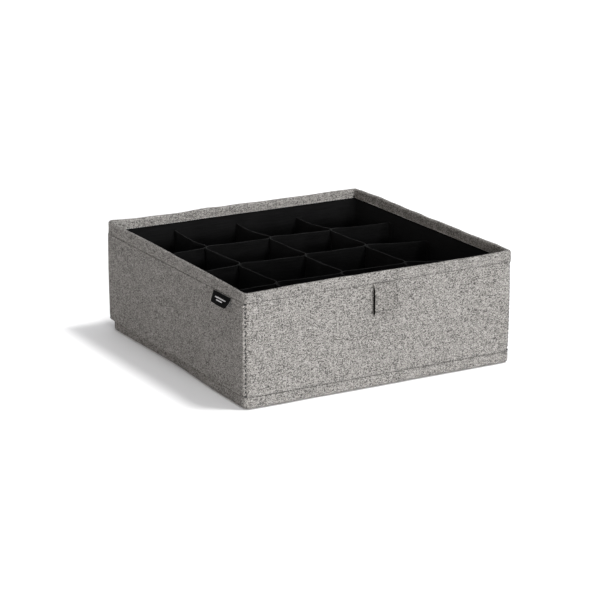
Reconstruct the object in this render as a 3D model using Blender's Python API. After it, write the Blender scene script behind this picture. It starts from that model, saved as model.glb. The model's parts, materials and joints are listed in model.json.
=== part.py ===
"""Open fabric storage drawer with sixteen sewn compartments.

The box is a sewn cover of four woven panels over four wall boards, lined with
non-woven cloth.  A woven binding closes the rim, a woven band closes the foot,
and six zigzag divider strips, sewn back to back where they meet, make the grid.
A pull loop hangs from the hem at the front and a cloth label at the left.

Frame: +X runs along the front, +Y points to the back, +Z is up, and the origin
is the middle of the underside.  Lengths are metres.
"""
import math

import bmesh
import bpy
from mathutils import Matrix, Vector

MM = 0.001

# Outside of the box
WIDTH = 310 * MM
DEPTH = 310 * MM
HEIGHT = 120 * MM

# Air left between neighbouring pieces
GAP = 0.3 * MM
REST_GAP = 0.4 * MM

# Cloth and board thicknesses
COVER_THICK = 1.0 * MM
BOARD_THICK = 1.6 * MM
LINING_THICK = 0.6 * MM
BINDING_THICK = 0.9 * MM
BAND_THICK = 1.0 * MM
STRIP_THICK = 1.0 * MM
BASE_CLOTH_THICK = 1.0 * MM
BASE_BOARD_THICK = 2.5 * MM

# Corner radii seen from above
COVER_RADIUS = 4 * MM
RIM_RADIUS_OUT = 5 * MM
RIM_RADIUS_IN = 8 * MM
BAND_RADIUS = 8 * MM
FLOOR_RADIUS = 7 * MM

# Rim binding: outer leg, inner leg and the boards that it holds
HEM_Z = 108.0 * MM
BINDING_INNER_Z = 110.3 * MM
BOARD_TOP_Z = 117.9 * MM
BOARD_HALF = 147 * MM
LINING_HALF = 149.2 * MM

# Bottom band: set back under the walls, turned in under the base
BAND_TOP_Z = 12.4 * MM
BAND_INSET = 1.0 * MM
BAND_TURN = 4.0 * MM

# Divider grid
CELLS = 4
STRIP_TOP_Z = 99.0 * MM
STRIP_LEAN = 4.0 * MM
FLANGE_LENGTH = 8 * MM
FLANGE_TURN = 1.5 * MM

# Pull loop on the front
LOOP_WIDTH = 26 * MM
LOOP_CENTRE_X = 2.1 * MM
LOOP_THICK = 1.0 * MM
LOOP_BOTTOM_Z = 75.5 * MM
LOOP_NECK_RADIUS = 0.6 * MM
LOOP_FOLD_RADIUS = 1.6 * MM

# Label on the left
LABEL_LENGTH = 34.8 * MM
LABEL_CENTRE_Y = -110.3 * MM
LABEL_DROP = 12.0 * MM
LABEL_THICK = 0.8 * MM
LABEL_PIVOT_Z = 106.8 * MM
LABEL_CORNER = 3 * MM
LABEL_TILT = math.radians(25)

# Points along each quarter circle and along each side of a compartment
ARC_STEPS = 4
WAVE_STEPS = 12

# Base colours, roughness
WOVEN_GREY = (0.36, 0.34, 0.32)
BOARD_GREY = (0.30, 0.27, 0.22)
LINING_BLACK = (0.012, 0.012, 0.013)
LABEL_BLACK = (0.015, 0.015, 0.016)
CLOTH_ROUGHNESS = 0.95
BOARD_ROUGHNESS = 0.85

# Heights of the base layers
BASE_BOARD_Z = BASE_CLOTH_THICK + REST_GAP
FLOOR_Z = BASE_BOARD_Z + BASE_BOARD_THICK + GAP
FLOOR_TOP_Z = FLOOR_Z + LINING_THICK
STRIP_BOTTOM_Z = FLOOR_TOP_Z + REST_GAP

# Half sizes of the wall layers, from the outside in (the plan is square)
HALF = WIDTH / 2
COVER_INNER = HALF - COVER_THICK
BOARD_OUTER = COVER_INNER - GAP
BOARD_INNER = BOARD_OUTER - BOARD_THICK
LINING_OUTER = BOARD_INNER - GAP
LINING_INNER = LINING_OUTER - LINING_THICK
BINDING_INNER = LINING_OUTER - BINDING_THICK
PITCH = 2 * LINING_INNER / CELLS


def clear_scene():
    for thing in list(bpy.data.objects):
        bpy.data.objects.remove(thing, do_unlink=True)


def cloth_material(name, colour, roughness):
    material = bpy.data.materials.new(name)
    material.use_nodes = True
    shader = material.node_tree.nodes["Principled BSDF"]
    shader.inputs["Base Color"].default_value = (*colour, 1.0)
    shader.inputs["Roughness"].default_value = roughness
    shader.inputs["Metallic"].default_value = 0.0
    return material


def add_object(name, mesh_data, colour, roughness=CLOTH_ROUGHNESS):
    """Make an object from a bmesh, with its faces turned outwards."""
    bmesh.ops.recalc_face_normals(mesh_data, faces=mesh_data.faces)
    mesh = bpy.data.meshes.new(name)
    mesh_data.to_mesh(mesh)
    mesh_data.free()
    mesh.materials.append(cloth_material(name, colour, roughness))
    piece = bpy.data.objects.new(name, mesh)
    bpy.context.collection.objects.link(piece)
    return piece


def rounded_square(half, radius, steps=ARC_STEPS):
    """Corner points of a rounded square, counterclockwise, as (x, y)."""
    points = []
    centre = half - radius
    for quarter in range(4):
        turn = quarter * math.pi / 2
        corner = Matrix.Rotation(turn, 2) @ Vector((centre, centre))
        for step in range(steps + 1):
            angle = turn + step * math.pi / 2 / steps
            points.append((corner.x + radius * math.cos(angle), corner.y + radius * math.sin(angle)))
    return points


def slab(outline, low, high):
    """Upright prism over a convex outline."""
    mesh_data = bmesh.new()
    bottom = [mesh_data.verts.new((x, y, low)) for x, y in outline]
    top = [mesh_data.verts.new((x, y, high)) for x, y in outline]
    mesh_data.faces.new(reversed(bottom))
    mesh_data.faces.new(top)
    for index in range(len(outline)):
        after = (index + 1) % len(outline)
        mesh_data.faces.new((bottom[index], bottom[after], top[after], top[index]))
    return mesh_data


def rectangle(x_low, x_high, y_low, y_high):
    return [(x_low, y_low), (x_high, y_low), (x_high, y_high), (x_low, y_high)]


def loft_rings(rings):
    """Closed tube of rings of equal length; the last ring joins the first."""
    mesh_data = bmesh.new()
    loops = [[mesh_data.verts.new(point) for point in ring] for ring in rings]
    count = len(loops[0])
    for row, loop in enumerate(loops):
        below = loops[(row + 1) % len(loops)]
        for index in range(count):
            after = (index + 1) % count
            mesh_data.faces.new((loop[index], loop[after], below[after], below[index]))
    return mesh_data


def ribbon(path, thickness, low, high):
    """Upright strip of even thickness along a plan path of (x, y) points."""
    mesh_data = bmesh.new()
    rows = []
    for index, point in enumerate(path):
        before = Vector(path[max(index - 1, 0)])
        after = Vector(path[min(index + 1, len(path) - 1)])
        along = (after - before).normalized()
        across = Vector((-along.y, along.x)) * thickness / 2
        left = Vector(point) + across
        right = Vector(point) - across
        rows.append([
            mesh_data.verts.new((left.x, left.y, low)),
            mesh_data.verts.new((right.x, right.y, low)),
            mesh_data.verts.new((right.x, right.y, high)),
            mesh_data.verts.new((left.x, left.y, high)),
        ])
    for here, there in zip(rows, rows[1:]):
        for side in range(4):
            after = (side + 1) % 4
            mesh_data.faces.new((here[side], here[after], there[after], there[side]))
    mesh_data.faces.new(rows[0])
    mesh_data.faces.new(reversed(rows[-1]))
    return mesh_data


def arc(centre, radius, start, end, steps=ARC_STEPS):
    """Points on an arc, from one angle in degrees to another."""
    points = []
    for step in range(steps + 1):
        angle = math.radians(start + (end - start) * step / steps)
        points.append((centre[0] + radius * math.cos(angle), centre[1] + radius * math.sin(angle)))
    return points


# Outer cover and its boards ------------------------------------------------

def flat_cover(name, side):
    """Front (side -1) or back (side +1) cover panel, between the corner seams."""
    reach = HALF - COVER_RADIUS - GAP
    y_pair = sorted((side * HALF, side * COVER_INNER))
    outline = rectangle(-reach, reach, *y_pair)
    add_object(name, slab(outline, BAND_TOP_Z + GAP, HEM_Z - GAP), WOVEN_GREY)


def wrapped_cover(name, side):
    """Left (side -1) or right (side +1) cover panel, turned round both corners."""
    middle = COVER_RADIUS - COVER_THICK / 2
    centre = HALF - COVER_RADIUS
    path = arc((centre, -centre), middle, -90, 0) + arc((centre, centre), middle, 0, 90)
    path = [(side * x, y) for x, y in path]
    add_object(name, ribbon(path, COVER_THICK, BAND_TOP_Z + GAP, HEM_Z - GAP), WOVEN_GREY)


def wall_layer(name, side, along_x, half_length, outer, inner, low, high, colour, roughness):
    """Flat layer inside one wall: a board or a lining panel."""
    across = sorted((side * outer, side * inner))
    if along_x:
        outline = rectangle(-half_length, half_length, *across)
    else:
        outline = rectangle(*across, -half_length, half_length)
    add_object(name, slab(outline, low, high), colour, roughness)


def make_walls():
    flat_cover("cover_front", -1)
    flat_cover("cover_back", 1)
    wrapped_cover("cover_left", -1)
    wrapped_cover("cover_right", 1)
    walls = (("front", -1, True), ("back", 1, True), ("left", -1, False), ("right", 1, False))
    for wall, side, along_x in walls:
        wall_layer("board_" + wall, side, along_x, BOARD_HALF, BOARD_OUTER, BOARD_INNER,
                   BAND_TOP_Z + 2 * GAP, BOARD_TOP_Z, BOARD_GREY, BOARD_ROUGHNESS)
        wall_layer("lining_" + wall, side, along_x, LINING_HALF, LINING_OUTER, LINING_INNER,
                   FLOOR_Z, BINDING_INNER_Z - GAP, LINING_BLACK, CLOTH_ROUGHNESS)


# Rim and foot ---------------------------------------------------------------

def make_rim_binding():
    """Woven strip folded over the wall tops, one ring with a U section."""
    outer_turn = (HALF - BINDING_INNER) / 2
    inner_turn = (COVER_INNER - LINING_OUTER) / 2
    turn_z = HEIGHT - outer_turn
    outside = arc((HALF - outer_turn, turn_z), outer_turn, 0, 180, 2 * ARC_STEPS)
    inside = arc((COVER_INNER - inner_turn, turn_z), inner_turn, 180, 0, 2 * ARC_STEPS)
    section = [(HALF, HEM_Z)] + outside + [(BINDING_INNER, BINDING_INNER_Z)]
    section += [(LINING_OUTER, BINDING_INNER_Z)] + inside + [(COVER_INNER, HEM_Z)]
    rings = []
    for half, z in section:
        depth_share = (HALF - half) / (HALF - BINDING_INNER)
        radius = RIM_RADIUS_OUT + depth_share * (RIM_RADIUS_IN - RIM_RADIUS_OUT)
        rings.append([(x, y, z) for x, y in rounded_square(half, radius)])
    add_object("rim_binding", loft_rings(rings), WOVEN_GREY)


def make_bottom_band():
    """Woven strip round the foot, turned in under the base."""
    face = HALF - BAND_INSET
    centre = (face - BAND_TURN, BAND_TURN)
    section = [(face, BAND_TOP_Z)] + arc(centre, BAND_TURN, 0, -90)
    section += arc(centre, BAND_TURN - BAND_THICK, -90, 0) + [(face - BAND_THICK, BAND_TOP_Z)]
    rings = []
    for half, z in section:
        radius = BAND_RADIUS - (face - half)
        rings.append([(x, y, z) for x, y in rounded_square(half, radius)])
    add_object("bottom_band", loft_rings(rings), WOVEN_GREY)


def make_base():
    underside = HALF - BAND_INSET - BAND_TURN - GAP
    outline = rounded_square(underside, BAND_RADIUS - BAND_TURN)
    add_object("base_cloth", slab(outline, 0, BASE_CLOTH_THICK), LINING_BLACK)
    floor = rounded_square(LINING_INNER - GAP, FLOOR_RADIUS)
    board = rounded_square(underside, FLOOR_RADIUS)
    board_top = BASE_BOARD_Z + BASE_BOARD_THICK
    add_object("base_board", slab(board, BASE_BOARD_Z, board_top), BOARD_GREY, BOARD_ROUGHNESS)
    add_object("floor_lining", slab(floor, FLOOR_Z, FLOOR_TOP_Z), LINING_BLACK)


# Divider grid ---------------------------------------------------------------

def lean(distance, span, from_seam, to_seam):
    """How far a compartment side leans off its grid line between two seams."""
    reach = STRIP_LEAN * math.e
    near = distance / reach * math.exp(1 - distance / reach)
    far = (span - distance) / reach * math.exp(1 - (span - distance) / reach)
    return STRIP_LEAN * (from_seam * near - to_seam * far)


def flange(wall_point, inward, sideways):
    """End of a strip, turned sideways along the wall it is sewn to.

    Runs from the free edge of the flange to the point where the strip leaves
    the wall.
    """
    origin = Vector(wall_point)
    stand_off = (GAP + STRIP_THICK / 2) * inward
    centre = origin + stand_off + FLANGE_TURN * (inward + sideways)
    points = [tuple(centre + (FLANGE_LENGTH - FLANGE_TURN) * sideways - FLANGE_TURN * inward)]
    for step in range(ARC_STEPS + 1):
        angle = step * math.pi / 2 / ARC_STEPS
        spoke = -math.cos(angle) * inward - math.sin(angle) * sideways
        points.append(tuple(centre + FLANGE_TURN * spoke))
    return points


def strip_path(start):
    """Plan path of one divider strip, climbing in steps from a wall.

    start is the grid point where the strip is sewn to the left or front wall.
    It turns at every seam, so it runs by turns along X and along Y.
    """
    x_way = Vector((1, 0))
    y_way = Vector((0, 1))
    seam_shift = (STRIP_THICK + GAP) / 2
    column, row = start
    runs_x = column == 0
    path = []
    while column < CELLS and row < CELLS:
        way = x_way if runs_x else y_way
        side = y_way if runs_x else x_way
        origin = Vector(((column - CELLS / 2) * PITCH, (row - CELLS / 2) * PITCH))
        from_wall = 0 in (column, row) and not path
        column, row = (column + 1, row) if runs_x else (column, row + 1)
        to_wall = CELLS in (column, row)
        for step in range(WAVE_STEPS + 1):
            share = (1 - math.cos(math.pi * step / WAVE_STEPS)) / 2
            distance = share * PITCH
            if from_wall and distance < FLANGE_TURN + GAP + STRIP_THICK:
                continue
            if to_wall and PITCH - distance < FLANGE_TURN + GAP + STRIP_THICK:
                continue
            if step == 0 and path:
                continue
            offset = lean(distance, PITCH, not from_wall, not to_wall)
            point = origin + distance * way + offset * side
            near_start = 0 if from_wall else math.exp(-distance / STRIP_LEAN)
            near_end = 0 if to_wall else math.exp(-(PITCH - distance) / STRIP_LEAN)
            # The strip sits on the outer side of each of its turns.
            point += seam_shift * (near_start - near_end) * (way - side) / math.sqrt(2)
            path.append(tuple(point))
        if from_wall:
            path = flange(origin, way, side) + path
        if to_wall:
            end = origin + PITCH * way
            # Turned to the front on the right wall and to the right on the back wall.
            turn_side = -side if runs_x else side
            path += reversed(flange(end, -way, turn_side))
        runs_x = not runs_x
    return path


def make_dividers():
    starts = [(0, 3), (0, 2), (0, 1), (1, 0), (2, 0), (3, 0)]
    for number, start in enumerate(starts, 1):
        strip = ribbon(strip_path(start), STRIP_THICK, STRIP_BOTTOM_Z, STRIP_TOP_Z)
        add_object("divider_%d" % number, strip, LINING_BLACK)


# Pull loop and label --------------------------------------------------------

def loop_section(grow):
    """Closed teardrop round the neck and the fold of the pull loop.

    grow moves the line out from the middle of the webbing.  Points are
    (distance out from the pivot, height above the pivot).
    """
    neck = LOOP_NECK_RADIUS + grow
    fold = LOOP_FOLD_RADIUS + grow
    pivot_z = loop_pivot().z
    drop = pivot_z - (LOOP_BOTTOM_Z + LOOP_FOLD_RADIUS + LOOP_THICK / 2)
    fold_out = LOOP_FOLD_RADIUS - LOOP_NECK_RADIUS
    slope = 2 * math.degrees(math.atan2(fold_out, drop))
    section = arc((fold_out, -drop), fold, -180, -slope, 2 * ARC_STEPS)
    section += arc((0, 0), neck, -slope, 180, 2 * ARC_STEPS)
    return section


def loop_pivot():
    out = GAP + LOOP_THICK / 2 + LOOP_NECK_RADIUS
    return Vector((LOOP_CENTRE_X, -DEPTH / 2 - out, HEM_Z - out))


def make_pull_loop():
    outside = loop_section(LOOP_THICK / 2)
    inside = loop_section(-LOOP_THICK / 2)
    half = LOOP_WIDTH / 2
    rings = [
        [(-half, -out, up) for out, up in outside],
        [(half, -out, up) for out, up in outside],
        [(half, -out, up) for out, up in inside],
        [(-half, -out, up) for out, up in inside],
    ]
    loop = add_object("pull_loop", loft_rings(rings), WOVEN_GREY)
    loop.location = loop_pivot()


def make_label():
    """Cloth flap hung from the hem, turned out from the wall at its free edge."""
    half = LABEL_LENGTH / 2
    low = -LABEL_DROP
    top = LABEL_THICK / 2
    outline = [(half, top), (-half, top)]
    outline += arc((-half + LABEL_CORNER, low + LABEL_CORNER), LABEL_CORNER, 180, 270)
    outline += arc((half - LABEL_CORNER, low + LABEL_CORNER), LABEL_CORNER, 270, 360)
    flap = slab(outline, -LABEL_THICK / 2, LABEL_THICK / 2)
    for vertex in flap.verts:
        y, z, x = vertex.co
        vertex.co = (x, y, z)
    label = add_object("label", flap, LABEL_BLACK)
    label.location = (-HALF - GAP - LABEL_THICK / 2, LABEL_CENTRE_Y, LABEL_PIVOT_Z)
    label.rotation_euler = (0, LABEL_TILT, 0)


def main():
    clear_scene()
    make_walls()
    make_rim_binding()
    make_bottom_band()
    make_base()
    make_dividers()
    make_pull_loop()
    make_label()


main()
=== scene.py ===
"""Looks of the fabric storage drawer: sewn woven cover, black lining and grid, thread, camera and light.

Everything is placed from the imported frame, in metres. Cloth is built as thin closed sheets over grids of
points: each sheet is a surface of (along, up) positions with its folds, seams and puckers worked out by
formulas, given a thickness, and mapped with its own yarn directions.
"""
import json
import math

import bpy
import numpy as np
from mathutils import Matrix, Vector


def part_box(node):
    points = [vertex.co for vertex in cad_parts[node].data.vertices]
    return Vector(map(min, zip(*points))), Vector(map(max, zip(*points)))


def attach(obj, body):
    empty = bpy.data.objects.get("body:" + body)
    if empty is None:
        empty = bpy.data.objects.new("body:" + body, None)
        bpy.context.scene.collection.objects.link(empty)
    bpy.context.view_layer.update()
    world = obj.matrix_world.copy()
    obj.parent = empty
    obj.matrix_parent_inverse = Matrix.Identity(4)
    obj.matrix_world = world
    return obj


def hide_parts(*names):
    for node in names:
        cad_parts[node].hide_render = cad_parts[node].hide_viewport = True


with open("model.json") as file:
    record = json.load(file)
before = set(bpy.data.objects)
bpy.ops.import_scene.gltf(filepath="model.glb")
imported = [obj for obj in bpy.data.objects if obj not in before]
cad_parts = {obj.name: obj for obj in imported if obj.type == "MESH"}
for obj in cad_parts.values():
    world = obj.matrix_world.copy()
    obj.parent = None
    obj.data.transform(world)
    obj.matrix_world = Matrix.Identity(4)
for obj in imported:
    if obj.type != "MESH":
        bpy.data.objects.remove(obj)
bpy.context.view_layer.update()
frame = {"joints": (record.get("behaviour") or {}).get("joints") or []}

MM = 0.001
BODY = "box"

# ---------------------------------------------------------------------------------------------- frame sizes

RIM_LOW, RIM_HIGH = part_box("rim_binding")
BAND_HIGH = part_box("bottom_band")[1]
COVER_LOW, COVER_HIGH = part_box("cover_front")
LINING_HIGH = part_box("lining_left")[1]
STRIP_LOW, STRIP_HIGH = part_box("divider_3")
FLOOR_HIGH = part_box("floor_lining")[1]
BASE_LOW, BASE_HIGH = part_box("base_cloth")
LOOP_LOW, LOOP_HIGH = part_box("pull_loop")
LABEL_LOW, LABEL_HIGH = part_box("label")

HALF = RIM_HIGH.x
RIM_Z = RIM_HIGH.z
HEM_Z = RIM_LOW.z
WALL_FOOT_Z = COVER_LOW.z
WALL_TOP_Z = COVER_HIGH.z
BAND_HALF = BAND_HIGH.x
LINING_HALF = -LINING_HIGH.x
FLOOR_Z = FLOOR_HIGH.z

CLOTH = 1.0 * MM
STITCH_PITCH = 3.2 * MM
CELLS = 4
PITCH = 2 * LINING_HALF / CELLS
STRIP_LEAN = 2.7 * MM
COVER_RADIUS = 7.0 * MM
FOOT_INSET = 3.4 * MM
FLAT_HALF = HALF - COVER_RADIUS
SEAM_TURN = math.radians(48)
SEAM_STITCH = 4.4 * MM


def joint(name):
    return next(j for j in frame["joints"] if j["name"] == name)


LOOP_PIVOT = Vector(joint("pull_loop_hinge")["pos_m"])
LABEL_PIVOT = Vector(joint("label_hinge")["pos_m"])


# ------------------------------------------------------------------------------------------------ mesh tools

def wavy(a, b, seed, waves):
    """Smooth random relief over a plane, a sum of (wavelength, height) waves, the same for each seed."""
    chance = np.random.default_rng(seed)
    total = np.zeros(np.broadcast(a, b).shape)
    for wavelength, height in waves:
        for _ in range(4):
            turn, phase, stretch = chance.random(3)
            size = wavelength * (0.7 + 0.6 * stretch)
            along = a * math.cos(turn * math.tau) + b * math.sin(turn * math.tau)
            total = total + height / 2 * np.sin(math.tau * (along / size + phase))
    return total


def bump_at(distance, width):
    """1 where the distance is nothing, and fading to 0 over about the width."""
    return np.exp(-((distance / width) ** 2))


def spaced(low, high, step, fine_step, fine_reach, fine_at=()):
    """Positions from low to high, close together near both ends and near the places in fine_at."""
    places = [low]
    marks = [low, high, *fine_at]
    while places[-1] < high:
        near = min(abs(places[-1] - mark) for mark in marks)
        blend = min(1.0, near / fine_reach)
        places.append(places[-1] + fine_step + (step - fine_step) * blend ** 2)
    places = np.array(places)
    return low + (places - low) * (high - low) / (places[-1] - low)


def unit(vectors):
    return vectors / np.maximum(np.linalg.norm(vectors, axis=-1, keepdims=True), 1e-12)


def lengths(points):
    """How far along its line each point lies."""
    return np.concatenate([[0], np.cumsum(np.linalg.norm(np.diff(points, axis=0), axis=1))])


def at_height(plan, z):
    """Plan points (x, y) raised to points (x, y, z)."""
    return np.column_stack([plan, np.broadcast_to(z, len(plan))])


def closed_line(plan, normals):
    """A ring's plan line and normals with the first ones repeated at the end."""
    return np.vstack([plan, plan[:1]]), np.vstack([normals, normals[:1]])


def difference(grid, axis, ring):
    """Steps between neighbours along one axis, going round where the sheet is a ring."""
    if ring:
        return np.roll(grid, -1, axis) - np.roll(grid, 1, axis)
    return np.gradient(grid, axis=axis)


def add_piece(name, points, faces, material, body, uvs=None):
    mesh = bpy.data.meshes.new(name)
    mesh.from_pydata(points.tolist(), [], faces)
    mesh.update()
    if uvs is not None:
        layer = mesh.uv_layers.new(name="cloth")
        layer.data.foreach_set("uv", uvs.reshape(-1).astype(np.float32))
    mesh.polygons.foreach_set("use_smooth", [True] * len(mesh.polygons))
    mesh.materials.append(material)
    piece = bpy.data.objects.new(name, mesh)
    bpy.context.scene.collection.objects.link(piece)
    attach(piece, body)
    return piece


def drawn_in(points):
    """The foot is drawn in along the left wall, most of all towards the back; the walls above it are not."""
    x, y, z = points[..., 0], points[..., 1], points[..., 2]
    along = np.clip((y / HALF + 0.75) / 0.8, 0, 1)
    inset = FOOT_INSET * along ** 2 * (3 - 2 * along) + 1.6 * MM * bump_at(y - 20 * MM, 70 * MM)
    height = np.clip((z - BAND_HIGH.z) / (8 * MM), 0, 1)
    moved = points.copy()
    moved[..., 0] += inset * np.clip(-x / HALF, 0, 1) ** 4 * (1 - height ** 2 * (3 - 2 * height))
    return moved


def sheet_borders(rows, columns, ring):
    """The border lines of a grid as (row, column) places: two round a ring, or one all round a panel."""
    if ring:
        return [[(0, c) for c in range(columns + 1)], [(rows - 1, c) for c in range(columns, -1, -1)]]
    low = [(0, c) for c in range(columns)]
    right = [(r, columns - 1) for r in range(1, rows)]
    high = [(rows - 1, c) for c in range(columns - 2, -1, -1)]
    left = [(r, 0) for r in range(rows - 2, -1, -1)]
    return [low + right + high + left]


def cloth_sheet(name, grid, uv, thick, material, body=BODY, ring=False, edge=0.4, back_face_material=None):
    """A sheet of cloth with rounded edges around a grid of mid-surface points (rows, columns, 3).

    The face side is where (along the columns) x (up the rows) points. uv holds the cloth's own
    measures at each point, with one more column than the grid where the sheet is a ring.
    """
    rows, columns = grid.shape[:2]
    normal = unit(np.cross(difference(grid, 1, ring), difference(grid, 0, False)))
    half = (thick if np.ndim(thick) else np.full((rows, columns), thick)) / 2
    front = grid + normal * half[..., None]
    back = grid - normal * half[..., None]
    points = [front.reshape(-1, 3), back.reshape(-1, 3)]
    index = np.arange(rows * columns).reshape(rows, columns)
    if ring:
        index = np.concatenate([index, index[:, :1]], axis=1)
    uv = uv.reshape(rows, -1, 2)
    quad = [(0, 0), (0, 1), (1, 1), (1, 0)]
    last_row, last_column = index.shape[0] - 1, index.shape[1] - 1
    corner = [index[r:last_row + r, c:last_column + c] for r, c in quad]
    corner_uv = [uv[r:last_row + r, c:last_column + c] for r, c in quad]
    front_faces = np.stack(corner, axis=-1).reshape(-1, 4)
    front_uv = np.stack(corner_uv, axis=-2).reshape(-1, 4, 2)
    back_faces = front_faces[:, ::-1] + rows * columns
    back_uv = front_uv[:, ::-1]
    faces = [front_faces, back_faces]
    face_uv = [front_uv, back_uv]
    made = 2 * rows * columns
    flat = grid.reshape(-1, 3)
    for border in sheet_borders(rows, columns, ring):
        place = np.array([index[r, c] for r, c in border])
        place_uv = np.array([uv[r, c] for r, c in border])
        inner = []
        for r, c in border:
            inner_row = min(max(r, 1), rows - 2)
            inner_column = c % columns if ring else min(max(c, 1), columns - 2)
            inner.append(index[inner_row, inner_column])
        outward = unit(flat[place] - flat[np.array(inner)])
        rounded = flat[place] + outward * (2 * edge * half.reshape(-1)[place])[:, None]
        points.append(rounded[:-1])
        count = len(place) - 1
        rim = np.append(made + np.arange(count), made)
        made += count
        for first, second in ((place, rim), (rim, place + rows * columns)):
            faces.append(np.stack([first[:-1], second[:-1], second[1:], first[1:]], axis=-1))
            face_uv.append(np.stack([place_uv[:-1], place_uv[:-1], place_uv[1:], place_uv[1:]], axis=-2))
    piece = add_piece(name, np.concatenate(points), np.concatenate(faces).tolist(), material, body,
                      uvs=np.concatenate(face_uv))
    if back_face_material:
        piece.data.materials.append(back_face_material)
        count = len(front_faces)
        for polygon in piece.data.polygons[count:2 * count]:
            polygon.material_index = 1
    return piece


def tubes(name, paths, radius, material, body=BODY, sides=6, flat=1.0):
    """Short lengths of thread as one piece: each path is (points, surface normals), rounded at both ends."""
    points, faces = [], []
    base = 0
    turn = np.arange(sides) * math.tau / sides
    for path, up in paths:
        along = unit(np.gradient(path, axis=0))
        across = unit(np.cross(along, up))
        lift = np.cross(across, along)
        share = np.linspace(-1, 1, len(path))
        width = radius * np.sqrt(np.clip(1.06 - share ** 6, 0.05, 1))
        ring = (across[:, None] * np.cos(turn)[None, :, None]
                + flat * lift[:, None] * np.sin(turn)[None, :, None]) * width[:, None, None]
        points.append((path[:, None] + ring).reshape(-1, 3))
        for row in range(len(path) - 1):
            for side in range(sides):
                after = (side + 1) % sides
                low, high = base + row * sides, base + (row + 1) * sides
                faces.append((low + side, low + after, high + after, high + side))
        end = base + (len(path) - 1) * sides
        faces.append(tuple(base + side for side in reversed(range(sides))))
        faces.append(tuple(end + side for side in range(sides)))
        base += len(path) * sides
    return add_piece(name, np.concatenate(points), faces, material, body)


def stitch_row(line, normals, pitch, length, lift, seed=1, points=5, uneven=0.0):
    """Splits a line into stitches of one pitch: paths for tubes(), each arched over the cloth.

    uneven is how much deeper or higher one stitch lies than another.
    """
    chance = np.random.default_rng(seed)
    distance = lengths(line)
    count = max(1, int(distance[-1] / pitch))
    real_pitch = distance[-1] / count
    paths = []
    for number in range(count):
        start = (number + 0.5) * real_pitch - length / 2 + chance.normal(0, 0.04) * pitch
        at = np.clip(start + np.linspace(0, length, points), 0, distance[-1])
        place = np.stack([np.interp(at, distance, line[:, axis]) for axis in range(3)], axis=-1)
        up = unit(np.stack([np.interp(at, distance, normals[:, axis]) for axis in range(3)], axis=-1))
        arch = lift * (1 - np.linspace(-1, 1, points) ** 2) - lift * 0.6 + chance.normal(0, 1) * uneven
        paths.append((place + up * arch[:, None], up))
    return paths


def rounded_square(half, radii, step):
    """Closed plan line of a rounded square, counterclockwise from the front: points, normals, lengths.

    radii holds the front right, back right, back left and front left corner, or one radius for all.
    """
    radii = [radii] * 4 if np.ndim(radii) == 0 else list(radii)
    points, normals = [], []
    for quarter in range(4):
        angle = (quarter - 1) * math.pi / 2
        out = np.array([math.cos(angle), math.sin(angle)])
        side = np.array([-out[1], out[0]])
        start, radius = radii[quarter - 1] - half, radii[quarter]
        count = max(2, int((half - radius - start) / step))
        for share in np.arange(count) / count:
            points.append(out * half + side * (start + share * (half - radius - start)))
            normals.append(out)
        centre = (out + side) * (half - radius)
        bend = max(4, int(radius * math.pi / 2 / (0.8 * MM)))
        for share in np.arange(bend) / bend:
            turned = out * math.cos(share * math.pi / 2) + side * math.sin(share * math.pi / 2)
            points.append(centre + turned * radius)
            normals.append(turned)
    points, normals = np.array(points), np.array(normals)
    steps = np.linalg.norm(np.roll(points, -1, axis=0) - points, axis=1)
    return points, normals, np.concatenate([[0], np.cumsum(steps)])


# ------------------------------------------------------------------------------------------------- materials

# Added to the sum of the yarns' tones, so that the melange spreads between its dark and its light colour.
WARP_TONE = -1.57
WEFT_TONE = -1.86


def node(tree, kind, inputs=None, **settings):
    made = tree.nodes.new(kind)
    for key, value in settings.items():
        setattr(made, key, value)
    for key, value in (inputs or {}).items():
        if hasattr(value, "links"):
            tree.links.new(value, made.inputs[key])
        else:
            made.inputs[key].default_value = value
    return made


def math_node(tree, operation, first, second=0.0, third=0.0):
    values = {0: first, 1: second, 2: third}
    return node(tree, "ShaderNodeMath", values, operation=operation).outputs[0]


def vector_node(tree, operation, inputs):
    return node(tree, "ShaderNodeVectorMath", inputs, operation=operation).outputs[0]


def combined(tree, x, y, z=0.0):
    return node(tree, "ShaderNodeCombineXYZ", {"X": x, "Y": y, "Z": z}).outputs[0]


def between(tree, value, low, high):
    """0 below low and 1 above high."""
    return node(tree, "ShaderNodeMapRange", {"Value": value, "From Min": low, "From Max": high}).outputs[0]


def chance_node(tree, place):
    """One random value for each whole-numbered place."""
    made = node(tree, "ShaderNodeTexWhiteNoise", {"Vector": place}, noise_dimensions="3D")
    return made.outputs["Value"]


def cloth_place(tree, step):
    """The cloth's own measures counted in steps."""
    uv = node(tree, "ShaderNodeUVMap", uv_map="cloth").outputs["UV"]
    return vector_node(tree, "MULTIPLY", {0: uv, 1: (1 / step, 1 / step, 0)})


def finish_material(tree, shader, colour, height, strength, depth):
    """Connects a material's colour and its fine relief."""
    tree.links.new(colour, shader.inputs["Base Color"])
    bump = node(tree, "ShaderNodeBump", {"Height": height, "Strength": strength, "Distance": depth})
    tree.links.new(bump.outputs["Normal"], shader.inputs["Normal"])


def new_material(name, roughness, sheen, sheen_roughness=0.5):
    material = bpy.data.materials.new(name)
    material.use_nodes = True
    shader = material.node_tree.nodes["Principled BSDF"]
    shader.inputs["Roughness"].default_value = roughness
    shader.inputs["Sheen Weight"].default_value = sheen
    shader.inputs["Sheen Roughness"].default_value = sheen_roughness
    shader.inputs["Specular IOR Level"].default_value = 0.25
    return material, material.node_tree, shader


def ramp(tree, factor, stops):
    made = node(tree, "ShaderNodeValToRGB", {"Fac": factor})
    elements = made.color_ramp.elements
    while len(elements) < len(stops):
        elements.new(0.5)
    for element, (place, colour) in zip(elements, stops):
        element.position = place
        element.color = (*colour, 1.0)
    return made.outputs["Color"]


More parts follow.
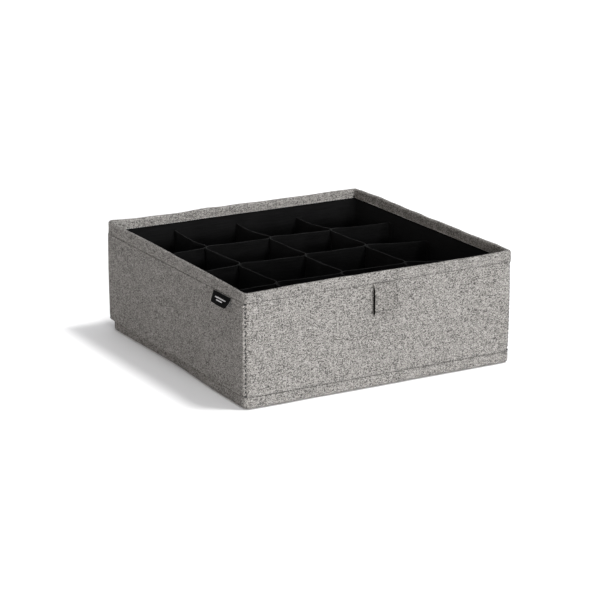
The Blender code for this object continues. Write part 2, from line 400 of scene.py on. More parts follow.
def noise(tree, vector, scale, detail=2.0, roughness=0.5, dimensions="3D"):
    inputs = {"Vector": vector, "Scale": scale, "Detail": detail, "Roughness": roughness}
    return node(tree, "ShaderNodeTexNoise", inputs, noise_dimensions=dimensions).outputs["Fac"]


def weave_place(tree, pitch):
    """The cloth's own measures counted in yarns, drifting a little so that no yarn runs quite straight."""
    place = cloth_place(tree, pitch)
    moved = place
    for scale, amount in ((0.09, 1.6), (0.55, 0.55)):
        drift = node(tree, "ShaderNodeTexNoise", {"Vector": place, "Scale": scale, "Detail": 2.0},
                     noise_dimensions="2D").outputs["Color"]
        moved = vector_node(tree, "MULTIPLY_ADD", {0: drift, 1: (amount, amount, 0), 2: moved})
    return moved


def yarn_tone(tree, number, along, shift):
    """Tone of one yarn: slow changes along it, and quicker ones where dark and pale fibres bunch."""
    tones = []
    for apart, stretch in ((1.1, 0.06), (3.17, 0.5)):
        offset = math_node(tree, "MULTIPLY", number, apart)
        stretched = math_node(tree, "MULTIPLY", along, stretch)
        tones.append(noise(tree, combined(tree, offset, stretched, shift), 1.0, 2.0))
    return math_node(tree, "MULTIPLY_ADD", tones[1], 0.8, tones[0])


def yarn_fibres(tree, along, over):
    """Fine twisted fibres on a yarn, running slantwise across it."""
    slant = math_node(tree, "MULTIPLY_ADD", along, 0.8, math_node(tree, "MULTIPLY", over, 3.4))
    spot = combined(tree, math_node(tree, "MULTIPLY", along, 0.9), slant)
    return noise(tree, spot, 1.0, 2.0, 0.6, "2D")


def yarn_slubs(tree, number, along, shift):
    """Short dark stretches, one yarn high, here and there along the yarns."""
    offset = math_node(tree, "MULTIPLY", number, 5.3)
    stretched = math_node(tree, "MULTIPLY", along, 0.24)
    spot = combined(tree, offset, stretched, shift)
    return between(tree, noise(tree, spot, 1.0, 1.0), 0.66, 0.72)


def crown(tree, value):
    """1 along the middle of a yarn and 0 at its sides."""
    centred = math_node(tree, "MULTIPLY_ADD", value, 2.0, -1.0)
    return math_node(tree, "SUBTRACT", 1.0, math_node(tree, "MULTIPLY", centred, centred))


def yarn_height(tree, across, along):
    """Height of a yarn that lies on top: round across, and dipping where it goes under."""
    dip = math_node(tree, "MULTIPLY_ADD", crown(tree, along), 0.5, 0.5)
    return math_node(tree, "MULTIPLY", crown(tree, across), dip)


def woven_material(name, dark, light, pitch=0.74 * MM):
    """Plain weave of melange yarns: pale warp and darker weft cross over, with slubs and flecks, and painted
    shade in the gaps between yarns.
    """
    material, tree, shader = new_material(name, 0.95, 0.08)
    place = weave_place(tree, pitch)
    axes = node(tree, "ShaderNodeSeparateXYZ", {0: place})
    across, up = axes.outputs["X"], axes.outputs["Y"]
    column, row = math_node(tree, "FLOOR", across), math_node(tree, "FLOOR", up)
    in_column, in_row = math_node(tree, "FRACT", across), math_node(tree, "FRACT", up)
    even = math_node(tree, "ADD", math_node(tree, "ADD", column, row), 4000.0)
    weft_up = math_node(tree, "GREATER_THAN", math_node(tree, "MODULO", even, 2.0), 0.5)

    def on_top(warp, weft):
        return node(tree, "ShaderNodeMix", {"Factor": weft_up, "A": warp, "B": weft}).outputs[0]

    tone = on_top(yarn_tone(tree, column, up, 0.0), yarn_tone(tree, row, across, 57.0))
    fibre = on_top(yarn_fibres(tree, up, across), yarn_fibres(tree, across, up))
    slub = on_top(yarn_slubs(tree, column, up, 3.0), yarn_slubs(tree, row, across, 71.0))
    cell = chance_node(tree, combined(tree, column, row, 0.5))
    group = math_node(tree, "FLOOR", math_node(tree, "MULTIPLY", across, 0.4))
    pair = chance_node(tree, combined(tree, group, row, 7.5))
    broad = noise(tree, place, 0.05, 3.0, 0.6, "2D")
    mixed = on_top(WARP_TONE, WEFT_TONE)
    parts = ((tone, 1.15), (cell, 0.95), (pair, 0.6), (fibre, 0.6), (broad, 0.35), (slub, -0.7))
    for part, weight in parts:
        mixed = math_node(tree, "MULTIPLY_ADD", part, weight, mixed)
    height = on_top(yarn_height(tree, in_column, in_row), yarn_height(tree, in_row, in_column))
    # Painted shade: the colour is darkened at each yarn's sides and where it dips under the crossing yarn,
    # the shade that falls in the gaps between yarns.
    shade = math_node(tree, "MULTIPLY_ADD", height, 0.70, 0.52)
    colour = ramp(tree, mixed, [(0.0, dark), (1.0, light)])
    grey = vector_node(tree, "SCALE", {0: colour, "Scale": shade})
    lumps = noise(tree, place, 0.55, 2.0, 0.6, "2D")
    relief = height
    for part, weight in ((fibre, 0.5), (tone, 0.4), (lumps, 2.2)):
        relief = math_node(tree, "MULTIPLY_ADD", part, weight, relief)
    finish_material(tree, shader, grey, relief, 1.0, 0.42 * MM)
    return material


def nonwoven_material(name, dark, light, dot=1.3 * MM, gloss=0.12):
    """Black felted cloth with a faint pressed dot pattern and loose fibres."""
    material, tree, shader = new_material(name, 0.9, 0.02, 0.45)
    shader.inputs["Specular IOR Level"].default_value = gloss
    place = cloth_place(tree, dot)
    fibre = noise(tree, place, 1.7, 4.0, 0.7, "2D")
    streak_place = vector_node(tree, "MULTIPLY", {0: place, 1: (0.05, 1.1, 1)})
    streak = noise(tree, streak_place, 1.0, 3.0, 0.6, "2D")
    cloud = noise(tree, place, 0.06, 2.0, 0.5, "2D")
    dots = node(tree, "ShaderNodeTexVoronoi", {"Vector": place, "Scale": 1.0, "Randomness": 0.12},
                voronoi_dimensions="2D").outputs["Distance"]
    pressed = between(tree, dots, 0.12, 0.34)
    mixed = math_node(tree, "MULTIPLY_ADD", streak, 0.5, math_node(tree, "MULTIPLY", fibre, 0.3))
    mixed = math_node(tree, "MULTIPLY_ADD", cloud, 0.2, mixed)
    colour = ramp(tree, mixed, [(0.32, dark), (0.68, light)])
    shade = math_node(tree, "MULTIPLY_ADD", pressed, 0.45, 0.65)
    shaded = vector_node(tree, "SCALE", {0: colour, "Scale": shade})
    height = math_node(tree, "MULTIPLY_ADD", fibre, 0.5, math_node(tree, "MULTIPLY", pressed, 0.6))
    finish_material(tree, shader, shaded, height, 0.6, 0.15 * MM)
    return material


def thread_material(name, dark, light):
    """Twisted polyester thread."""
    material, tree, shader = new_material(name, 0.6, 0.1)
    place = node(tree, "ShaderNodeTexCoord").outputs["Object"]
    twist = {"Vector": place, "Scale": 900.0, "Distortion": 2.0}
    wave = node(tree, "ShaderNodeTexWave", twist).outputs["Fac"]
    spots = noise(tree, place, 700.0, 2.0)
    mixed = math_node(tree, "MULTIPLY_ADD", wave, 0.5, math_node(tree, "MULTIPLY", spots, 0.5))
    colour = ramp(tree, mixed, [(0.2, dark), (0.8, light)])
    finish_material(tree, shader, colour, wave, 0.5, 0.08 * MM)
    return material


def board_material(name):
    """Grey recycled board with short fibres."""
    material, tree, shader = new_material(name, 0.85, 0.0)
    place = node(tree, "ShaderNodeTexCoord").outputs["Object"]
    fibres = noise(tree, place, 900.0, 4.0, 0.7)
    cloud = noise(tree, place, 60.0, 2.0)
    mixed = math_node(tree, "MULTIPLY_ADD", fibres, 0.6, math_node(tree, "MULTIPLY", cloud, 0.4))
    colour = ramp(tree, mixed, [(0.3, (0.22, 0.19, 0.15)), (0.7, (0.38, 0.34, 0.27))])
    finish_material(tree, shader, colour, fibres, 0.4, 0.1 * MM)
    return material


WOVEN = woven_material("woven_grey", (0.026, 0.023, 0.020), (0.352, 0.339, 0.322))
# Painted shade: a darker copy of the woven cloth for the pull loop, standing in for the lesser light on its
# turned-down face.
LOOP_WOVEN_SHADED = woven_material("woven_loop_shaded", (0.023, 0.020, 0.017), (0.300, 0.288, 0.272))
NONWOVEN = nonwoven_material("nonwoven_black", (0.0004, 0.0004, 0.0004), (0.0042, 0.0042, 0.0045), gloss=0.08)
# Painted highlight: a lighter black for the strips' top edges, standing in for the light they catch from
# above.
EDGE_HIGHLIGHT_BLACK = nonwoven_material("nonwoven_edge_highlight", (0.008, 0.008, 0.008), (0.022, 0.022, 0.022))
LABEL_CLOTH = nonwoven_material("label_black", (0.0005, 0.0005, 0.0005), (0.0022, 0.0022, 0.0024),
                                dot=0.5 * MM, gloss=0.02)
PALE_THREAD = thread_material("pale_thread", (0.42, 0.41, 0.40), (0.72, 0.71, 0.69))
# Painted shade: dark thread for the hem and band seams, which also stands in for the shade in their grooves
# and stitch holes.
DARK_THREAD_AND_GROOVE_SHADE = thread_material("dark_thread_groove_shade", (0.02, 0.019, 0.018), (0.07, 0.067, 0.063))
# Black thread: on the base it is the base's own black stitching; in the corner seams and on the pull loop it
# also paints shade, of needle holes, seam grooves and the loop's edge and fold creases.
BLACK_THREAD_AND_HOLE_SHADE = thread_material("black_thread_hole_shade", (0.010, 0.010, 0.010), (0.035, 0.035, 0.035))
WHITE_THREAD = thread_material("white_thread", (0.34, 0.34, 0.35), (0.55, 0.55, 0.56))
BOARD = board_material("stiffener_board")


# -------------------------------------------------------------------------------------------- camera, stage

CAMERA_AZIMUTH = math.radians(-29.68)
CAMERA_ELEVATION = math.radians(16.46)
CAMERA_TARGET = Vector((-5.47, 0, 50.7)) * MM
CAMERA_DISTANCE = 2.455
CAMERA_LENS_MM = 140.4
FLOOR_DEPTH = 0.3 * MM
WORLD_STRENGTH = 0.56


def make_camera():
    """Long lens at the photograph's viewing angle."""
    data = bpy.data.cameras.new("camera")
    camera = bpy.data.objects.new("camera", data)
    bpy.context.scene.collection.objects.link(camera)
    level = math.cos(CAMERA_ELEVATION)
    back = Vector((math.sin(CAMERA_AZIMUTH) * level, -math.cos(CAMERA_AZIMUTH) * level,
                   math.sin(CAMERA_ELEVATION)))
    camera.location = CAMERA_TARGET + back * CAMERA_DISTANCE
    camera.rotation_mode = "QUATERNION"
    camera.rotation_quaternion = (-back).to_track_quat("-Z", "Y")
    data.sensor_width = 36
    data.lens = CAMERA_LENS_MM
    data.clip_start = 0.05
    data.clip_end = 60
    bpy.context.scene.camera = camera


def make_floor():
    """Pale floor just under the box, clear when seen from below."""
    mesh = bpy.data.meshes.new("floor")
    reach = 14.0
    corners = ((-reach, -reach), (reach, -reach), (reach, reach), (-reach, reach))
    mesh.from_pydata([(x, y, -FLOOR_DEPTH) for x, y in corners], [], [(0, 1, 2, 3)])
    floor = bpy.data.objects.new("floor", mesh)
    bpy.context.scene.collection.objects.link(floor)
    material = bpy.data.materials.new("floor")
    material.use_nodes = True
    tree = material.node_tree
    shader = tree.nodes["Principled BSDF"]
    shader.inputs["Base Color"].default_value = (0.93, 0.93, 0.935, 1)
    shader.inputs["Roughness"].default_value = 0.75
    shader.inputs["Specular IOR Level"].default_value = 0.2
    clear = node(tree, "ShaderNodeBsdfTransparent")
    under = node(tree, "ShaderNodeNewGeometry").outputs["Backfacing"]
    mix = node(tree, "ShaderNodeMixShader", {0: under, 1: shader.outputs[0], 2: clear.outputs[0]})
    tree.links.new(mix.outputs[0], tree.nodes["Material Output"].inputs["Surface"])
    mesh.materials.append(material)


def soft_light(name, towards, strength, softness, colour=(1, 1, 1)):
    """A far studio light: the direction towards it, its strength and its width as an angle in degrees."""
    data = bpy.data.lights.new(name, "SUN")
    data.energy = strength
    data.angle = math.radians(softness)
    data.color = colour
    light = bpy.data.objects.new(name, data)
    bpy.context.scene.collection.objects.link(light)
    light.location = Vector(towards) * 3
    light.rotation_mode = "QUATERNION"
    light.rotation_quaternion = (-Vector(towards)).to_track_quat("-Z", "Y")


def make_light():
    """Bright studio surroundings, two high lights that cast the shadow, a front fill and a warm side fill."""
    world = bpy.data.worlds.new("studio")
    bpy.context.scene.world = world
    world.use_nodes = True
    background = world.node_tree.nodes["Background"]
    background.inputs["Color"].default_value = (0.97, 0.98, 1.0, 1)
    background.inputs["Strength"].default_value = WORLD_STRENGTH
    soft_light("key", (0.336, -0.262, 0.907), 1.32, 12, (1.0, 0.995, 0.985))
    soft_light("key_high", (0.308, -0.185, 0.935), 0.93, 12)
    soft_light("front_fill", (-0.055, -0.994, 0.09), 5.65, 18, (1.0, 0.997, 0.992))
    soft_light("warm_side", (-0.97, -0.20, 0.06), 0.32, 40, (1.0, 0.56, 0.18))
    bpy.context.scene.view_settings.view_transform = "Standard"
    bpy.context.scene.view_settings.look = "None"


# -------------------------------------------------------------------------------------------- outer cover

WALL_WAVES = ((120 * MM, 0.45 * MM), (38 * MM, 0.14 * MM), (11 * MM, 0.05 * MM))


def seam_pucker(along, away, pitch=STITCH_PITCH, depth=0.16 * MM, reach=2.0 * MM):
    """Small hollows that each stitch pulls into the cloth beside a line of stitching."""
    return -depth * (0.5 + 0.5 * np.cos(math.tau * along / pitch)) * bump_at(away, reach)


def wall_relief(along, x, y, z, seed):
    """How far a wall's cloth stands out: slow waves, drawn in at the hem and rolled under at the foot."""
    to_foot, to_top = z - WALL_FOOT_Z, WALL_TOP_Z - z
    relief = wavy(along, z, seed, WALL_WAVES)
    relief = relief * np.clip(to_foot / (12 * MM), 0.25, 1) * np.clip(to_top / (12 * MM), 0.15, 1)
    relief = relief - 0.32 * MM * bump_at(to_top, 0.8 * MM) - 0.6 * MM * bump_at(to_foot, 0.7 * MM)
    relief = relief + seam_pucker(along, to_top) + seam_pucker(along, to_foot)
    corner = np.hypot(HALF - np.abs(x), HALF - np.abs(y))
    relief = relief * (1 - 0.7 * bump_at(corner, 14 * MM))
    relief = relief - 0.8 * MM * bump_at(to_foot, 4 * MM) * bump_at(corner, 12 * MM)
    return relief + corner_bulge(x, y, z)


def corner_bulge(x, y, z):
    """The back left and front right corners are puffed out a little between the rim and the foot."""
    share = np.clip((z - WALL_FOOT_Z) / (WALL_TOP_Z - WALL_FOOT_Z), 0, 1)
    back_left = bump_at(np.hypot(x + HALF, y - HALF), 40 * MM)
    front_right = bump_at(np.hypot(x - HALF, y + HALF), 30 * MM)
    return np.sin(math.pi * share) ** 0.7 * (0.4 * back_left + 0.9 * front_right) * MM


def wall_heights():
    return spaced(WALL_FOOT_Z, WALL_TOP_Z, 2.6 * MM, 0.35 * MM, 9 * MM)


def seam_gap(z):
    """The corner seam opens a little at its two ends, where the thread stops."""
    end = np.minimum(z - WALL_FOOT_Z, WALL_TOP_Z - z)
    return 1.2 * MM * bump_at(end - 1.0 * MM, 1.1 * MM)


def wall_place(along, wall, stand_out):
    """Plan places at distances along a wall from its middle, and on round its corners.

    Walls count counterclockwise from 0, the front. stand_out is measured from the walls' outer face.
    """
    straight = np.clip(along, -FLAT_HALF, FLAT_HALF)
    facing = (wall - 1) * math.pi / 2
    angle = facing + (along - straight) / COVER_RADIUS
    out = COVER_RADIUS + stand_out
    x = FLAT_HALF * math.cos(facing) - straight * math.sin(facing) + out * np.cos(angle)
    y = FLAT_HALF * math.sin(facing) + straight * math.cos(facing) + out * np.sin(angle)
    return x, y


def seam_fold(away, z, wrapped):
    """Relief beside a corner seam: the wrapped panel ends in a raised fold, the other tucks under it."""
    pull = 0.5 + 0.5 * np.cos(math.tau * (z - WALL_FOOT_Z) / SEAM_STITCH)
    if wrapped:
        fold = 0.55 * MM * bump_at(away - 2.2 * MM, 1.4 * MM) - 0.6 * MM * bump_at(away, 0.7 * MM)
        return fold - 0.35 * MM * pull * bump_at(away, 1.5 * MM)
    fold = 0.15 * MM * bump_at(away - 2.0 * MM, 0.9 * MM) - 0.6 * MM * bump_at(away, 0.8 * MM)
    return fold - 0.35 * MM * pull * bump_at(away, 1.9 * MM)


def make_cover(name, wall, seed):
    """One wall's panel, from corner seam to corner seam."""
    wrapped = wall % 2 == 1
    corner_part = math.pi / 2 - SEAM_TURN if wrapped else SEAM_TURN
    half_length = FLAT_HALF + COVER_RADIUS * corner_part
    s = spaced(-half_length, half_length, 1.1 * MM, 0.25 * MM, 7 * MM)
    s_grid, z_grid = np.meshgrid(s, wall_heights())
    x, y = wall_place(s_grid, wall, 0.0)
    away = half_length - np.abs(s_grid)
    relief = wall_relief(s_grid, x, y, z_grid, seed) + seam_fold(away, z_grid, wrapped)
    drawn = s_grid - np.sign(s_grid) * seam_gap(z_grid) * bump_at(away, 1.2 * MM)
    x, y = wall_place(drawn, wall, relief - CLOTH / 2)
    grid = np.stack([x, y, z_grid], axis=-1)
    uv = np.stack([s_grid + seed, z_grid], axis=-1)
    piece = cloth_sheet("cover_" + name + "_cloth", grid, uv, CLOTH, WOVEN)
    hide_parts("cover_" + name)


def make_covers():
    for wall, name in enumerate(("front", "right", "back", "left")):
        make_cover(name, wall, wall + 1)


def make_corner_stitches():
    """Black thread in the groove of each corner seam, with a tack across it at both ends; the black also
    paints the shade of the needle holes and groove, and the tacks the dark pinholes at the seam's ends.
    """
    paths, tacks = [], []
    z = np.arange(WALL_FOOT_Z + 3 * MM, WALL_TOP_Z - 3 * MM, 0.5 * MM)
    across = np.linspace(-1.3, 1.3, 5) * MM
    for wall in (0, 2):
        for end in (-1, 1):
            seam = end * (FLAT_HALF + COVER_RADIUS * SEAM_TURN)
            x, y = wall_place(np.full_like(z, seam), wall, 0.0)
            bulge = corner_bulge(x, y, z)
            x, y = wall_place(np.full_like(z, seam), wall, bulge - 0.35 * MM)
            out_x, out_y = wall_place(np.full_like(z, seam), wall, 1.0)
            normals = unit(np.column_stack([out_x - x, out_y - y, 0 * z]))
            line = np.column_stack([x, y, z])
            paths += stitch_row(line, normals, SEAM_STITCH, 2.4 * MM, 0.15 * MM, seed=11)
            for level in (WALL_FOOT_Z + 0.9 * MM, WALL_TOP_Z - 1.1 * MM):
                x, y = wall_place(seam + across, wall, -0.1 * MM)
                out = np.tile(normals[0], (len(across), 1))
                tacks.append((np.column_stack([x, y, np.full_like(x, level)]), out))
    tubes("corner_seam_thread", paths, 0.82 * MM, BLACK_THREAD_AND_HOLE_SHADE)
    tubes("corner_tack_thread", tacks, 1.0 * MM, BLACK_THREAD_AND_HOLE_SHADE)


# ---------------------------------------------------------------------------------------------- rim and foot

def rim_height(x, y):
    """The rim isn't quite level: slow waves, low along the front, lowest at the front left corner."""
    slow = wavy(x, y, 21, ((170 * MM, 0.5 * MM), (45 * MM, 0.18 * MM)))
    back = 0.9 * bump_at(x + 35 * MM, 14 * MM) - 1.5 * bump_at(x - 75 * MM, 65 * MM)
    back = back + 1.2 * bump_at(x + HALF, 25 * MM)
    right = -1.3 * bump_at(y + 80 * MM, 45 * MM)
    near_corner = bump_at(np.hypot(x + HALF, y + HALF), 60 * MM)
    front = -1.3 * (1 - bump_at(x - HALF, 22 * MM)) * (1 - near_corner)
    walls = back * (y > HALF * 0.9) + right * (x > HALF * 0.9) + front * (y < -HALF * 0.9)
    return slow + MM * (walls - 3.0 * near_corner)


def make_rim_binding():
    """The woven strip folded over the wall tops, as one ring."""
    inner_half = -RIM_LOW.x - 4.1 * MM
    turn = (HALF - inner_half) / 2
    inner_low = HEM_Z + 2.2 * MM
    outer = [(0.0, z) for z in spaced(HEM_Z + 0.1 * MM, RIM_Z - turn, 1.5 * MM, 0.35 * MM, 4 * MM)]
    over = [(turn - turn * math.cos(a), RIM_Z - turn + turn * math.sin(a))
            for a in np.linspace(0, math.pi, 11)[1:-1]]
    inner = [(2 * turn, z) for z in spaced(inner_low, RIM_Z - turn, 1.5 * MM, 0.35 * MM, 4 * MM)[::-1]]
    section = np.array(outer + over + inner)
    measure = lengths(section)
    plan, normals, along = rounded_square(HALF, [3.0 * MM, 3.5 * MM, 6.5 * MM, 4.5 * MM], 1.1 * MM)
    corner_share = 1 - np.max(np.abs(normals), axis=1)
    rows, tops = [], rim_height(plan[:, 0], plan[:, 1])
    for (depth, z), v in zip(section, measure):
        inward = depth + CLOTH / 2 * (1 - 2 * depth / (2 * turn))
        inward = inward + corner_share * 5.0 * (depth / (2 * turn)) * MM
        rise = tops * np.clip((z - HEM_Z) / (RIM_Z - HEM_Z), 0, 1)
        swell = wavy(along[:-1], np.array(v), 22, ((60 * MM, 0.3 * MM), (17 * MM, 0.10 * MM)))
        swell = swell * np.clip((z - HEM_Z) / (5 * MM), 0.1, 1)
        if depth == 0.0:
            swell = swell - 0.3 * MM * bump_at(z - HEM_Z, 0.7 * MM)
            swell = swell + seam_pucker(along[:-1], np.array(z - HEM_Z - 1.1 * MM))
        if depth > turn:
            swell = -swell * 0.6 + 0.35 * MM * bump_at(z - inner_low, 0.7 * MM)
        place = plan - normals * (inward - swell * (1 if depth <= turn else -1))[:, None]
        rows.append(at_height(place, z + rise))
    grid = np.stack(rows)
    uv = np.stack(np.meshgrid(along, measure), axis=-1)
    piece = cloth_sheet("rim_binding_cloth", grid, uv, CLOTH * 0.9, WOVEN, ring=True)
    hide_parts("rim_binding")
    make_hem_thread(plan, normals)
    make_inner_edge(plan, normals, inner_half, inner_low, corner_share, tops)


def make_hem_thread(plan, normals):
    """Stitches along the lower edge of the binding, in dark thread that also paints the shade of the groove
    and stitch holes.
    """
    closed, outward = closed_line(plan, normals)
    line = at_height(closed + outward * 0.05 * MM, HEM_Z - 0.10 * MM)
    up = at_height(outward, 0.0)
    stitches = stitch_row(line, up, STITCH_PITCH, 2.2 * MM, 0.12 * MM, seed=12, uneven=0.10 * MM)
    tubes("hem_thread", stitches, 0.25 * MM, DARK_THREAD_AND_GROOVE_SHADE)


def make_inner_edge(plan, normals, inner_half, inner_low, corner_share, tops):
    """Overlocked inner edge of the binding: a bead of pale thread turns round it."""
    closed, outward = closed_line(plan, normals)
    share = np.append(corner_share, corner_share[0])
    inward = (HALF - inner_half - CLOTH / 2) + share * 5.0 * MM
    rise = np.append(tops, tops[0]) * np.clip((inner_low - HEM_Z) / (RIM_Z - HEM_Z), 0, 1)
    line = at_height(closed - outward * inward[:, None], inner_low + rise)
    up = at_height(-outward, 0.0)
    paths = []
    distance = lengths(line)
    pitch = 2.1 * MM
    for number in range(int(distance[-1] / pitch)):
        at = (number + 0.5) * pitch
        place = np.array([np.interp(at, distance, line[:, axis]) for axis in range(3)])
        out = unit(np.array([np.interp(at, distance, up[:, axis]) for axis in range(3)]))
        side = np.cross(out, (0, 0, 1.0))
        turn = np.linspace(-0.35, 1.35, 7) * math.pi
        ring = [place + out * (0.62 * MM * math.sin(t)) + np.array((0, 0, 0.75 * MM * math.cos(t)))
                + side * (0.5 * MM * (t / math.pi - 0.5)) for t in turn]
        spoke = [out * math.sin(t) + np.array((0, 0, math.cos(t))) for t in turn]
        paths.append((np.array(ring), np.array(spoke)))
    tubes("binding_edge_thread", paths, 0.26 * MM, PALE_THREAD, sides=5)


def make_bottom_band():
    """Woven strip round the foot: a little slack, rounded under at the base."""
    top = BAND_HIGH.z - 0.15 * MM
    turn = 3.0 * MM
    upright = [(0.0, z) for z in spaced(turn, top, 1.4 * MM, 0.35 * MM, 3 * MM)[::-1]]
    under = [(turn - turn * math.cos(a), turn - turn * math.sin(a))
             for a in np.linspace(0, math.pi / 2, 9)[1:]]
    section = np.array(upright + under)
    measure = lengths(section)
    plan, normals, along = rounded_square(BAND_HALF, [2.5 * MM, 7 * MM, 7 * MM, 7 * MM], 1.1 * MM)
    to_front = np.clip(np.maximum(-normals[:, 1], normals[:, 0]), 0, 1)
    rows = []
    for (depth, z), v in zip(section, measure):
        swell = wavy(along[:-1], np.array(v), 31, ((90 * MM, 0.35 * MM), (22 * MM, 0.14 * MM)))
        slack = 0.35 * MM * bump_at(z - 7 * MM, 4 * MM) * (z > turn * 0.8)
        swell = swell * min(1.0, z / (3 * MM)) + slack
        swell = swell + 0.5 * MM * to_front * np.clip(z / turn, 0, 1)
        if depth == 0.0:
            swell = swell - 0.45 * MM * bump_at(z - top, 0.8 * MM)
            swell = swell + seam_pucker(along[:-1], np.array(top - 1.0 * MM - z))
        angle = min(depth / turn, 1) * math.pi / 2
        place = plan - normals * (depth + CLOTH / 2 * np.cos(angle) - swell)[:, None]
        rows.append(at_height(place, max(z, 0) + CLOTH / 2 * math.sin(angle)))
    grid = drawn_in(np.stack(rows)[::-1])
    uv = np.stack(np.meshgrid(along, measure[::-1]), axis=-1)
    piece = cloth_sheet("bottom_band_cloth", grid, uv, CLOTH * 0.96, WOVEN, ring=True)
    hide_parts("bottom_band")
    closed, outward = closed_line(plan, normals)
    stand = 0.35 * MM + 0.5 * MM * np.append(to_front, to_front[0])
    line = drawn_in(at_height(closed + outward * stand[:, None], top + 0.15 * MM))
    up = at_height(outward, 0.0)
    stitches = stitch_row(line, up, STITCH_PITCH, 2.5 * MM, 0.10 * MM, seed=13, uneven=0.08 * MM)
    # Painted shade: the band's stitches are dark thread that also stands in for the shade line in the groove
    # under the cover's foot.
    tubes("band_thread", stitches, 0.29 * MM, DARK_THREAD_AND_GROOVE_SHADE)


def make_base():
    """Underside: black cloth, its edge turned in and stitched all round."""
    half = BASE_HIGH.x
    plan = rounded_square(half, 5 * MM, 2.0 * MM)[0]
    rings = np.array([1.0, 0.997, 0.99, 0.982, 0.974, 0.966, 0.93, 0.85, 0.72, 0.55, 0.35, 0.15, 0.002])
    rows = []
    for share in rings:
        edge = (1 - share) * half
        place = plan * share
        sag = 0.18 * MM * (1 + wavy(place[:, 0], place[:, 1], 41, ((70 * MM, 0.6), (25 * MM, 0.25))))
        groove = 0.3 * MM * bump_at(edge - 4 * MM, 0.9 * MM)
        inside = min(1.0, edge / (8 * MM))
        z = BASE_LOW.z + 0.5 * MM + np.clip(sag, 0, None) * inside + groove
        rows.append(at_height(place, z))
    grid = drawn_in(np.stack(rows))
    uv = np.concatenate([grid, grid[:, :1]], axis=1)[..., :2]
    piece = cloth_sheet("base_cloth_sheet", grid[::-1], uv[::-1], 0.9 * MM, NONWOVEN,
                        ring=True)
    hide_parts("base_cloth")
    line_plan = plan * (1 - 4 * MM / half)
    closed = np.vstack([line_plan, line_plan[:1]])
    line = drawn_in(at_height(closed, 0.28 * MM))
    up = np.tile([0.0, 0.0, -1.0], (len(closed), 1))
    tubes("base_thread", stitch_row(line, up, 3.6 * MM, 2.5 * MM, 0.08 * MM, seed=14), 0.18 * MM,
          BLACK_THREAD_AND_HOLE_SHADE)


def make_base_board():
    """The loose board in the base, cut with round corners and no wider than the foot leaves room for."""
    low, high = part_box("base_board")
    plan = rounded_square(high.x, 6 * MM, 3.0 * MM)[0]
    rings = (1.0, 0.995, 0.98, 0.9, 0.7, 0.45, 0.2, 0.002)
    grid = drawn_in(np.stack([at_height(plan * share, (low.z + high.z) / 2) for share in rings]))
    uv = np.concatenate([grid, grid[:, :1]], axis=1)[..., :2]
    piece = cloth_sheet("base_board_card", grid[::-1], uv[::-1], high.z - low.z - 0.1 * MM, BOARD,
                        ring=True, edge=0.2)
    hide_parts("base_board")


def make_wall_boards():
    """The stiffening boards inside the walls, each cut to follow the wave of the rim above it."""
    for name in ("board_front", "board_back", "board_left", "board_right"):
        low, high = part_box(name)
        size, middle = high - low, (low + high) / 2
        if size.x > size.y:
            x = np.linspace(low.x, high.x, 90)
            y, run, thick = np.full(90, middle.y), x, size.y
        else:
            y = np.linspace(low.y, high.y, 90)
            x, run, thick = np.full(90, middle.x), y, size.x
        top = high.z + np.minimum(0.0, rim_height(x, y)) - 0.3 * MM
        shares = (0.0, 0.01, 0.1, 0.3, 0.5, 0.7, 0.9, 0.99, 1.0)
        grid = np.stack([np.column_stack([x, y, low.z + share * (top - low.z)]) for share in shares])
        uv = np.stack([np.column_stack([run, row[:, 2]]) for row in grid])
        piece = cloth_sheet(name + "_card", grid, uv, thick, BOARD, edge=0.2)
        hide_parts(name)


# ------------------------------------------------------------------------------------------------ the lining

def make_lining():
    """Black lining of the four walls, one sewn band with soft corners."""
    low, high = FLOOR_Z - 0.2 * MM, LINING_HIGH.z + 1.5 * MM
    plan, normals, along = rounded_square(LINING_HALF + 0.3 * MM, 6 * MM, 2.0 * MM)
    heights = spaced(low, high, 4 * MM, 1.2 * MM, 10 * MM)
    rows = []
    for z in heights:
        swell = wavy(along[:-1], np.array(z), 51, ((80 * MM, 0.35 * MM), (24 * MM, 0.12 * MM)))
        swell = swell * min(1.0, (high - z) / (25 * MM)) + 0.2 * MM
        swell = swell - 0.9 * MM * float(bump_at(high - z, 8 * MM))
        rows.append(at_height(plan - normals * np.clip(swell, -0.8 * MM, 1.2 * MM)[:, None], z))
    grid = drawn_in(np.stack(rows))[:, ::-1]
    uv = np.stack(np.meshgrid(along[::-1], heights), axis=-1)
    piece = cloth_sheet("wall_lining_cloth", grid, uv, 0.6 * MM, NONWOVEN, ring=True)
    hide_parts("lining_front", "lining_back", "lining_left", "lining_right")


def make_floor_lining():
    """Black cloth laid over the base board."""
    half = LINING_HALF
    side = spaced(-half, half, 3.5 * MM, 1.5 * MM, 10 * MM)
    x, y = np.meshgrid(side, side)
    edge = half - np.maximum(np.abs(x), np.abs(y))
    z = FLOOR_Z - 0.3 * MM + wavy(x, y, 52, ((90 * MM, 0.3 * MM), (30 * MM, 0.12 * MM)))
    z = z - 0.25 * MM * bump_at(edge, 3 * MM)
    grid = drawn_in(np.stack([x, y, z], axis=-1))
    piece = cloth_sheet("floor_lining_cloth", grid, grid[..., :2].copy(), 0.6 * MM, NONWOVEN)
    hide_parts("floor_lining")


# ------------------------------------------------------------------------------------------- divider grid

def lean(distance, span, from_seam, to_seam):
    """How far a strip stands off its straight line: the S bend that starts and ends at the seams."""
    reach = STRIP_LEAN * math.e
    near = distance / reach * np.exp(1 - distance / reach)
    far = (span - distance) / reach * np.exp(1 - (span - distance) / reach)
    return STRIP_LEAN * (from_seam * near - to_seam * far)


